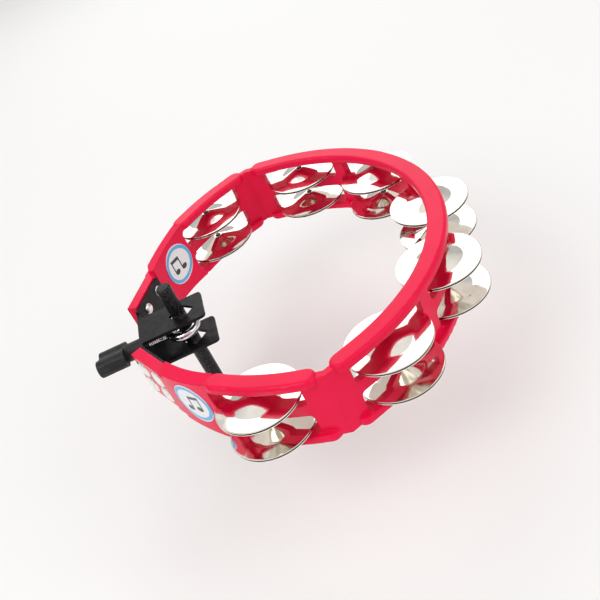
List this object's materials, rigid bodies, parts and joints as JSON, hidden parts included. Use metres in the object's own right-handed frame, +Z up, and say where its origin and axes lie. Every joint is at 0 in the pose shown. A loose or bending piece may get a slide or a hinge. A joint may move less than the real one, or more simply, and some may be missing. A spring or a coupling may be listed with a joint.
{
  "type": "tambourine",
  "caption": "Rod-mounted tambourine: an open moulded ring with paired metal jingles in two rows, and a steel bracket that a wing knob clamps to a rod.",
  "frame": {"origin": "on the mounting rod's axis, where the chamfer of the rod's lower end meets its full diameter", "axes": "+Z up the rod, +X from the rod across the open middle of the ring, +Y to the player's left when looking along -X"},
  "size_m": [0.2566, 0.2658, 0.127],
  "materials": {
    "ring_plastic": "moulded, satin gloss",
    "nickel": "bright nickel plate",
    "pin_steel": "drawn wire",
    "black_paint": "satin powder coat",
    "rod_finish": "black oxide, knurled",
    "zinc": "bright zinc plate",
    "rivet_nickel": "nickel plate",
    "knob_plastic": "fine texture",
    "insert_brass": "machined",
    "badge_print": "printed label, gloss"
  },
  "bodies": {
    "rod": {"rod": "rod_finish"},
    "tambourine": {"frame": "ring_plastic", "bracket": "black_paint", "washer": "zinc", "badge_near": "badge_print", "badge_far": "badge_print", "jingle_pin_1": "pin_steel", "jingle_pin_2": "pin_steel", "jingle_pin_3": "pin_steel", "jingle_pin_4": "pin_steel", "jingle_pin_5": "pin_steel", "jingle_pin_6": "pin_steel", "jingle_pin_7": "pin_steel", "rivet_far_1": "rivet_nickel", "rivet_far_2": "rivet_nickel", "rivet_far_3": "rivet_nickel", "rivet_far_4": "rivet_nickel", "rivet_near_1": "rivet_nickel", "rivet_near_2": "rivet_nickel", "rivet_near_3": "rivet_nickel", "rivet_near_4": "rivet_nickel"},
    "knob": {"wing_knob": "knob_plastic", "threaded_insert": "insert_brass"},
    "eyebolt": {"eyebolt": "zinc"},
    "jingle_1_upper_bottom": {"jingle_1_upper_bottom": "nickel"},
    "jingle_1_upper_top": {"jingle_1_upper_top": "nickel"},
    "jingle_1_lower_bottom": {"jingle_1_lower_bottom": "nickel"},
    "jingle_1_lower_top": {"jingle_1_lower_top": "nickel"},
    "jingle_2_upper_bottom": {"jingle_2_upper_bottom": "nickel"},
    "jingle_2_upper_top": {"jingle_2_upper_top": "nickel"},
    "jingle_2_lower_bottom": {"jingle_2_lower_bottom": "nickel"},
    "jingle_2_lower_top": {"jingle_2_lower_top": "nickel"},
    "jingle_3_upper_bottom": {"jingle_3_upper_bottom": "nickel"},
    "jingle_3_upper_top": {"jingle_3_upper_top": "nickel"},
    "jingle_3_lower_bottom": {"jingle_3_lower_bottom": "nickel"},
    "jingle_3_lower_top": {"jingle_3_lower_top": "nickel"},
    "jingle_4_upper_bottom": {"jingle_4_upper_bottom": "nickel"},
    "jingle_4_upper_top": {"jingle_4_upper_top": "nickel"},
    "jingle_4_lower_bottom": {"jingle_4_lower_bottom": "nickel"},
    "jingle_4_lower_top": {"jingle_4_lower_top": "nickel"},
    "jingle_5_upper_bottom": {"jingle_5_upper_bottom": "nickel"},
    "jingle_5_upper_top": {"jingle_5_upper_top": "nickel"},
    "jingle_5_lower_bottom": {"jingle_5_lower_bottom": "nickel"},
    "jingle_5_lower_top": {"jingle_5_lower_top": "nickel"},
    "jingle_6_upper_bottom": {"jingle_6_upper_bottom": "nickel"},
    "jingle_6_upper_top": {"jingle_6_upper_top": "nickel"},
    "jingle_6_lower_bottom": {"jingle_6_lower_bottom": "nickel"},
    "jingle_6_lower_top": {"jingle_6_lower_top": "nickel"},
    "jingle_7_upper_bottom": {"jingle_7_upper_bottom": "nickel"},
    "jingle_7_upper_top": {"jingle_7_upper_top": "nickel"},
    "jingle_7_lower_bottom": {"jingle_7_lower_bottom": "nickel"},
    "jingle_7_lower_top": {"jingle_7_lower_top": "nickel"}
  },
  "joints": [
    {"name": "height_slide", "type": "slide", "parent": "rod", "child": "tambourine", "axis": [0, 0, 1], "range_m": [-0.03, 0.018]},
    {"name": "knob_turn", "type": "hinge", "parent": "tambourine", "child": "knob", "pos_m": [-0.0295, 0, 0.0927], "axis": [-1, 0, 0], "range_deg": [0, 720]},
    {"name": "eyebolt_draw", "type": "slide", "parent": "tambourine", "child": "eyebolt", "axis": [1, 0, 0], "range_m": [0, 0.00254]},
    {"name": "bounce_1_upper_bottom", "type": "slide", "parent": "tambourine", "child": "jingle_1_upper_bottom", "axis": [0, 0, 1], "range_m": [0, 0.0016]},
    {"name": "bounce_1_upper_top", "type": "slide", "parent": "jingle_1_upper_bottom", "child": "jingle_1_upper_top", "axis": [0, 0, 1], "range_m": [0, 0.0016]},
    {"name": "bounce_1_lower_bottom", "type": "slide", "parent": "tambourine", "child": "jingle_1_lower_bottom", "axis": [0, 0, 1], "range_m": [0, 0.0016]},
    {"name": "bounce_1_lower_top", "type": "slide", "parent": "jingle_1_lower_bottom", "child": "jingle_1_lower_top", "axis": [0, 0, 1], "range_m": [0, 0.0016]},
    {"name": "bounce_2_upper_bottom", "type": "slide", "parent": "tambourine", "child": "jingle_2_upper_bottom", "axis": [0, 0, 1], "range_m": [0, 0.0016]},
    {"name": "bounce_2_upper_top", "type": "slide", "parent": "jingle_2_upper_bottom", "child": "jingle_2_upper_top", "axis": [0, 0, 1], "range_m": [0, 0.0016]},
    {"name": "bounce_2_lower_bottom", "type": "slide", "parent": "tambourine", "child": "jingle_2_lower_bottom", "axis": [0, 0, 1], "range_m": [0, 0.0016]},
    {"name": "bounce_2_lower_top", "type": "slide", "parent": "jingle_2_lower_bottom", "child": "jingle_2_lower_top", "axis": [0, 0, 1], "range_m": [0, 0.0016]},
    {"name": "bounce_3_upper_bottom", "type": "slide", "parent": "tambourine", "child": "jingle_3_upper_bottom", "axis": [0, 0, 1], "range_m": [0, 0.0016]},
    {"name": "bounce_3_upper_top", "type": "slide", "parent": "jingle_3_upper_bottom", "child": "jingle_3_upper_top", "axis": [0, 0, 1], "range_m": [0, 0.0016]},
    {"name": "bounce_3_lower_bottom", "type": "slide", "parent": "tambourine", "child": "jingle_3_lower_bottom", "axis": [0, 0, 1], "range_m": [0, 0.0016]},
    {"name": "bounce_3_lower_top", "type": "slide", "parent": "jingle_3_lower_bottom", "child": "jingle_3_lower_top", "axis": [0, 0, 1], "range_m": [0, 0.0016]},
    {"name": "bounce_4_upper_bottom", "type": "slide", "parent": "tambourine", "child": "jingle_4_upper_bottom", "axis": [0, 0, 1], "range_m": [0, 0.0016]},
    {"name": "bounce_4_upper_top", "type": "slide", "parent": "jingle_4_upper_bottom", "child": "jingle_4_upper_top", "axis": [0, 0, 1], "range_m": [0, 0.0016]},
    {"name": "bounce_4_lower_bottom", "type": "slide", "parent": "tambourine", "child": "jingle_4_lower_bottom", "axis": [0, 0, 1], "range_m": [0, 0.0016]},
    {"name": "bounce_4_lower_top", "type": "slide", "parent": "jingle_4_lower_bottom", "child": "jingle_4_lower_top", "axis": [0, 0, 1], "range_m": [0, 0.0016]},
    {"name": "bounce_5_upper_bottom", "type": "slide", "parent": "tambourine", "child": "jingle_5_upper_bottom", "axis": [0, 0, 1], "range_m": [0, 0.0016]},
    {"name": "bounce_5_upper_top", "type": "slide", "parent": "jingle_5_upper_bottom", "child": "jingle_5_upper_top", "axis": [0, 0, 1], "range_m": [0, 0.0016]},
    {"name": "bounce_5_lower_bottom", "type": "slide", "parent": "tambourine", "child": "jingle_5_lower_bottom", "axis": [0, 0, 1], "range_m": [0, 0.0016]},
    {"name": "bounce_5_lower_top", "type": "slide", "parent": "jingle_5_lower_bottom", "child": "jingle_5_lower_top", "axis": [0, 0, 1], "range_m": [0, 0.0016]},
    {"name": "bounce_6_upper_bottom", "type": "slide", "parent": "tambourine", "child": "jingle_6_upper_bottom", "axis": [0, 0, 1], "range_m": [0, 0.0016]},
    {"name": "bounce_6_upper_top", "type": "slide", "parent": "jingle_6_upper_bottom", "child": "jingle_6_upper_top", "axis": [0, 0, 1], "range_m": [0, 0.0016]},
    {"name": "bounce_6_lower_bottom", "type": "slide", "parent": "tambourine", "child": "jingle_6_lower_bottom", "axis": [0, 0, 1], "range_m": [0, 0.0016]},
    {"name": "bounce_6_lower_top", "type": "slide", "parent": "jingle_6_lower_bottom", "child": "jingle_6_lower_top", "axis": [0, 0, 1], "range_m": [0, 0.0016]},
    {"name": "bounce_7_upper_bottom", "type": "slide", "parent": "tambourine", "child": "jingle_7_upper_bottom", "axis": [0, 0, 1], "range_m": [0, 0.0016]},
    {"name": "bounce_7_upper_top", "type": "slide", "parent": "jingle_7_upper_bottom", "child": "jingle_7_upper_top", "axis": [0, 0, 1], "range_m": [0, 0.0016]},
    {"name": "bounce_7_lower_bottom", "type": "slide", "parent": "tambourine", "child": "jingle_7_lower_bottom", "axis": [0, 0, 1], "range_m": [0, 0.0016]},
    {"name": "bounce_7_lower_top", "type": "slide", "parent": "jingle_7_lower_bottom", "child": "jingle_7_lower_top", "axis": [0, 0, 1], "range_m": [0, 0.0016]}
  ],
  "couplings": [
    {"joint": "knob_turn", "follows": "eyebolt_draw", "rad_per_m": 4947.3}
  ]
}
